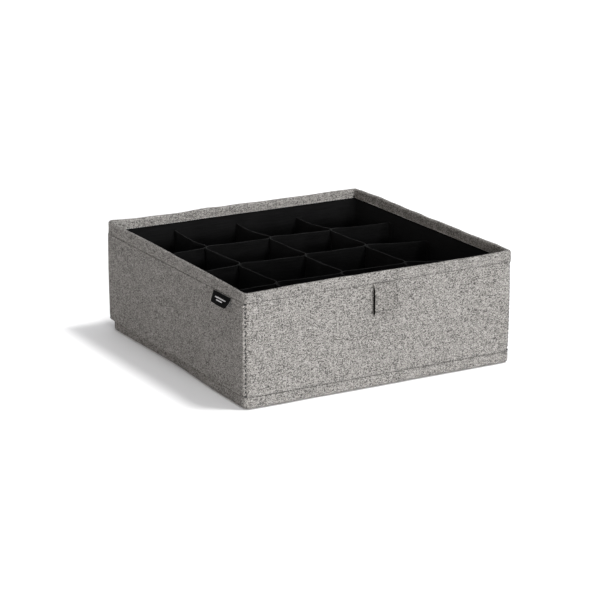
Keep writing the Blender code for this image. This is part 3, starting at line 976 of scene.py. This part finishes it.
def seam_place(column, row):
    """Where four compartments meet: on the grid, moved a little as the sewn cloth happened to lie."""
    chance = np.random.default_rng(100 + 10 * column + row)
    place = np.array([(column - CELLS / 2) * PITCH, (row - CELLS / 2) * PITCH])
    inside = 0 < column < CELLS and 0 < row < CELLS
    return place + inside * chance.uniform(-1.1, 1.1, 2) * MM


def seam_top(column, row):
    """Height of the strips' top edges there: lower where they are sewn to a wall."""
    chance = np.random.default_rng(200 + 10 * column + row)
    height = STRIP_HIGH.z + 0.4 * MM + (row - CELLS / 2) * 0.6 * MM + chance.uniform(-0.7, 0.7) * MM
    if column == CELLS:
        height -= (2.5 + 2.2 * (CELLS / 2 + 1 - row)) * MM
    if row == CELLS:
        height += (0.5 - 3.2 * (column - 1.2)) * MM
    return height - (3.0 * MM if column == 0 or row == 0 else 0)


def flange(place, inward, sideways):
    """Plan points of a strip's end, turned along the wall; from its free edge to the turn's end."""
    stand_off = 0.7 * MM
    turn = 0.9 * MM
    length = 6 * MM
    centre = place + (stand_off + turn) * inward + turn * sideways
    points = [centre + share * (length - turn) * sideways - turn * inward for share in np.linspace(1, 0.1, 7)]
    for angle in np.linspace(0, math.pi / 2, 7):
        points.append(centre - turn * (math.cos(angle) * inward + math.sin(angle) * sideways))
    return points


def strip_line(start):
    """Plan path and top edge of one strip, from the left or front wall to the back or right wall."""
    column, row = start
    runs_x = column == 0
    gap = 0.55 * MM
    path, tops = [], []
    while column < CELLS and row < CELLS:
        way, side = np.array([1.0, 0.0]), np.array([0.0, 1.0])
        if not runs_x:
            way, side = side, way
        begin, begin_top = seam_place(column, row), seam_top(column, row)
        from_wall = not path
        if from_wall:
            ends = flange(begin, way, side)
            path += ends
            tops += [begin_top] * len(ends)
        column, row = (column + 1, row) if runs_x else (column, row + 1)
        finish, finish_top = seam_place(column, row), seam_top(column, row)
        to_wall = CELLS in (column, row)
        span = np.linalg.norm(finish - begin)
        first = 3.5 * MM if from_wall else 0.0
        last = span - 3.5 * MM if to_wall else span
        for distance in spaced(first, last, 2.6 * MM, 0.7 * MM, 16 * MM)[0 if from_wall else 1:]:
            share = distance / span
            sag = 4 * share * (1 - share)
            offset = lean(distance, span, not from_wall, not to_wall)
            near = 0 if from_wall else math.exp(-distance / STRIP_LEAN)
            far = 0 if to_wall else math.exp(-(span - distance) / STRIP_LEAN)
            point = begin + (finish - begin) * share + offset * side
            path.append(point + gap * (near - far) * (way - side) / math.sqrt(2))
            depth = (1.6 if row == CELLS else 0.5) * MM
            tops.append(begin_top + (finish_top - begin_top) * share - depth * sag)
        if to_wall:
            ends = flange(finish, -way, -side if way[0] else side)[::-1]
            path += ends
            tops += [finish_top] * len(ends)
        runs_x = not runs_x
    return np.array(path), np.array(tops)


def make_divider(number, start):
    """One strip of the grid; gives back the line of its top edge."""
    path, tops = strip_line(start)
    along = lengths(path)
    tangent = unit(np.gradient(path, axis=0))
    normal = np.column_stack([tangent[:, 1], -tangent[:, 0]])
    foot = STRIP_LOW.z
    shares = np.concatenate([np.linspace(0, 0.93, 22), [0.95, 0.965, 0.975, 0.983, 0.990, 0.995, 1.0]])
    free = np.clip(np.minimum(along, along[-1] - along) / (14 * MM), 0, 1)
    rows, thick = [], []
    waves = ((48 * MM, 0.75 * MM), (17 * MM, 0.22 * MM))
    for share in shares:
        ripple = wavy(along, np.array(share * 0.09), 60 + number, waves)
        place = path + normal * (ripple * free)[:, None]
        rows.append(at_height(place, foot + (tops - foot) * share))
        thick.append(np.full(len(path), (0.85 + 0.3 * float(share > 0.96)) * MM))
    grid = drawn_in(np.stack(rows))
    uv = np.stack(np.meshgrid(along + number, shares * 0.096), axis=-1)
    piece = cloth_sheet("divider_%d_cloth" % number, grid, uv, np.stack(thick), NONWOVEN,
                        edge=0.3)
    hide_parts("divider_%d" % number)
    edge_line = at_height(path, tops + 0.05 * MM)[12:-12]
    return edge_line, np.tile([0.0, 0.0, 1.0], (len(edge_line), 1))


def make_dividers():
    """The six strips, each from the (column, row) where it leaves the left or front wall."""
    starts = [(0, 3), (0, 2), (0, 1), (1, 0), (2, 0), (3, 0)]
    edges = [make_divider(number, start) for number, start in enumerate(starts, 1)]
    # Thickened top edges of the strips, in the lighter black that paints the highlight they catch from above.
    tubes("divider_edge_piping", edges, 0.3 * MM, EDGE_HIGHLIGHT_BLACK, sides=6)


# ------------------------------------------------------------------------------------- pull loop and label

LOOP_THICK = 0.9 * MM
# Tangent of the 30 degrees that the lifted loop, turned by 150, leaves between itself and the wall.
LIFTED_SLOPE = 0.577


def loop_section():
    """The loop's closed section as (outward, upward) from its pivot, and the middle it puffs out from."""
    neck, fold = 1.95 * MM, 2.15 * MM
    drop = LOOP_PIVOT.z - (LOOP_LOW.z + fold + LOOP_THICK / 2)
    lean_out = fold - neck
    slope = math.atan2(lean_out, drop) * 2
    section = [(-neck, -drop * share) for share in np.linspace(0, 1, 23)]
    for angle in np.linspace(math.pi, 2 * math.pi - slope, 12)[1:]:
        section.append((lean_out + fold * math.cos(angle), -drop + fold * math.sin(angle)))
    low_out, low_z = section[-1]
    high_out, high_z = neck * math.cos(-slope), neck * math.sin(-slope)
    for share in np.linspace(0.04, 1, 24):
        bulge = 0.35 * MM * math.sin(math.pi * share)
        out = low_out + (high_out - low_out) * share + bulge
        section.append((out, low_z + (high_z - low_z) * share))
    for angle in np.linspace(-slope, math.pi, 8)[1:-1]:
        section.append((neck * math.cos(angle), 0.5 * neck * math.sin(angle)))
    section = np.array(section) + (1.1 * MM, 0)
    # The two legs close up towards the seam, so that the loop clears the wall when it is lifted.
    room = 0.65 * MM - LIFTED_SLOPE * section[:, 1]
    spread = np.hypot(section[:, 0] - room, 0.5 * MM)
    section[:, 0] = (section[:, 0] + room - spread) / 2
    return section, np.array([lean_out * 0.5, -drop * 0.55])


def make_pull_loop():
    """Flattened loop of woven cloth with its edges turned in, sewn into the hem."""
    width = LOOP_HIGH.x - LOOP_LOW.x
    centre_x = (LOOP_HIGH.x + LOOP_LOW.x) / 2
    section, middle = loop_section()
    measure = lengths(section)
    measure = np.append(measure, measure[-1] + np.linalg.norm(section[0] - section[-1]))
    x = spaced(-width / 2, width / 2, 0.9 * MM, 0.3 * MM, 3 * MM)
    rows = []
    for place in x:
        edge = width / 2 - abs(place)
        puff = 0.22 * MM * bump_at(edge - 0.9 * MM, 0.8 * MM)
        puff = puff - 0.18 * MM * bump_at(edge - 2.6 * MM, 0.6 * MM)
        wave = wavy(np.array(place), measure[:-1], 71, ((22 * MM, 0.22 * MM),))
        out_dir = unit((section - middle) * np.array([6.0, 1.0]))
        shaped = section + out_dir * (puff + wave * 0.6)[:, None]
        rows.append(np.column_stack([np.full(len(shaped), centre_x + place), LOOP_PIVOT.y - shaped[:, 0],
                                     LOOP_PIVOT.z + shaped[:, 1]]))
    grid = np.stack(rows)[::-1]
    uv = np.stack(np.meshgrid(measure, x[::-1]), axis=-1)[..., ::-1] + 0.5
    # Painted shade: the loop's inner faces get the black nonwoven so that its open side reads as dark as the
    # shade inside the loop.
    piece = cloth_sheet("pull_loop_cloth", grid, uv, LOOP_THICK, LOOP_WOVEN_SHADED,
                        body="pull_loop", ring=True, back_face_material=NONWOVEN)
    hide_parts("pull_loop")
    make_loop_thread(grid)


def make_loop_thread(grid):
    """Black thread on the face of the loop: topstitching 4 mm in from its right edge, and rows at the right
    edge and along the fold that are stitches and also paint the shade of the edge's crease and of the fold.
    """
    face = grid[:, 35:57] - np.array([0, LOOP_THICK / 2, 0])
    across = face[:, 0, 0]
    lines = []
    for inset, length, sunk in ((4.0 * MM, 1.9 * MM, 0.0), (0.8 * MM, 2.4 * MM, 0.05 * MM)):
        nearest = np.argmin(np.abs(across - (across.max() - inset)))
        lines.append((face[nearest] + np.array([0, sunk, 0]), length, 15))
    lines.append((face[:, 0], 2.5 * MM, 16))
    paths = []
    for line, length, seed in lines:
        outward = np.tile([0.0, -1.0, 0.0], (len(line), 1))
        paths += stitch_row(line, outward, 3.0 * MM, length, 0.1 * MM, seed=seed)
    tubes("loop_thread", paths, 0.36 * MM, BLACK_THREAD_AND_HOLE_SHADE, body="pull_loop")


LABEL_DROP = 11.4 * MM
LABEL_WAVES = ((26 * MM, 0.3 * MM),)


def label_curl(y, down, half_length):
    """How far the label stands off its hem line, and how far it reaches down, at places on its cloth."""
    share = down / LABEL_DROP
    flare = (5.4 - 1.7 * y / half_length) * MM
    out = flare * share ** 1.25 + wavy(y, down, 81, LABEL_WAVES) * share
    return out, down - 0.5 * out ** 2 / np.maximum(down, 1 * MM)


def make_label():
    """Black woven flap with two plain bars, hung from the hem and curling off the wall."""
    length = LABEL_HIGH.y - LABEL_LOW.y
    centre_y = (LABEL_HIGH.y + LABEL_LOW.y) / 2
    y = spaced(-length / 2, length / 2, 0.9 * MM, 0.35 * MM, 3 * MM)
    s = spaced(0, LABEL_DROP, 0.7 * MM, 0.35 * MM, 2 * MM)
    y_grid, s_grid = np.meshgrid(y, s)
    corner = 2.2 * MM
    over = np.clip(s_grid - (LABEL_DROP - corner), 0, None)
    inset = corner - np.sqrt(np.clip(corner ** 2 - over ** 2, 0, None))
    y_grid = y_grid * (1 - inset / (length / 2))
    out, fall = label_curl(y_grid, s_grid, length / 2)
    grid = np.stack([LABEL_PIVOT.x - out, centre_y + y_grid, LABEL_PIVOT.z - fall], axis=-1)
    uv = np.stack([y_grid, s_grid], axis=-1)
    piece = cloth_sheet("label_cloth", grid[::-1, ::-1], uv[::-1, ::-1], 0.7 * MM, LABEL_CLOTH,
                        body="label")
    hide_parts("label")
    bars = []
    for half_share, height in ((0.33, 0.42), (0.20, 0.64)):
        line_y = np.linspace(-half_share, half_share, 16) * length
        out, fall = label_curl(line_y, np.array(height * LABEL_DROP), length / 2)
        line = np.stack([LABEL_PIVOT.x - out - 0.36 * MM, centre_y + line_y, LABEL_PIVOT.z - fall], axis=-1)
        bars.append((line, np.tile([-1.0, 0.0, 0.25], (len(line), 1))))
    tubes("label_bars", bars, 0.9 * MM, WHITE_THREAD, body="label", sides=8, flat=0.18)


make_camera()
make_floor()
make_light()
make_covers()
make_corner_stitches()
make_rim_binding()
make_bottom_band()
make_base()
make_base_board()
make_wall_boards()
make_lining()
make_floor_lining()
make_dividers()
make_pull_loop()
make_label()
